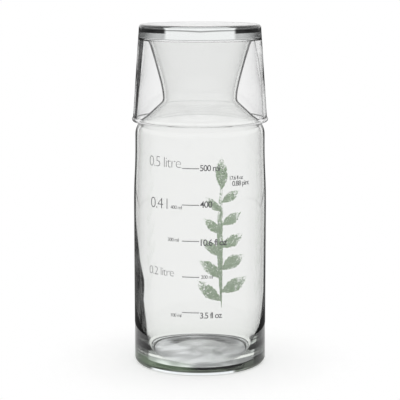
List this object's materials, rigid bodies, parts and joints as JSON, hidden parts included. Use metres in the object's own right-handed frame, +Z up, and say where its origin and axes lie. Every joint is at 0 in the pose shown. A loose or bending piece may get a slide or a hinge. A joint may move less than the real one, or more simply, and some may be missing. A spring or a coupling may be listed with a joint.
{
  "type": "bedside carafe with tumbler",
  "caption": "Clear glass bedside carafe with a flared neck, printed volume scale and leaf sprig, closed by an upturned tumbler that lifts off as a glass.",
  "frame": {"origin": "centre of the ring that the carafe stands on, in the plane of the table", "axes": "+Z up along the axis of the carafe, -Y out of the side with the volume scale, +X to the right seen from that side"},
  "size_m": [0.0828, 0.0828, 0.208],
  "materials": {
    "clear_glass": "clear soda-lime glass, smooth and fire-polished, faintly green where it is thick",
    "tumbler_glass": "clear glass, smooth and fire-polished, neutral in tone",
    "grey_enamel": "thin grey enamel fired on the glass, satin",
    "green_enamel": "thin muted green enamel with the broken edge of a dry brush, satin"
  },
  "bodies": {
    "carafe": {"carafe": "clear_glass", "scale_lines": "grey_enamel", "leaf_print": "green_enamel"},
    "tumbler": {"tumbler": "tumbler_glass"}
  },
  "joints": [
    {"name": "tumbler_lift", "type": "slide", "parent": "carafe", "child": "tumbler", "axis": [0, 0, 1], "range_m": [0, 0.08]}
  ]
}
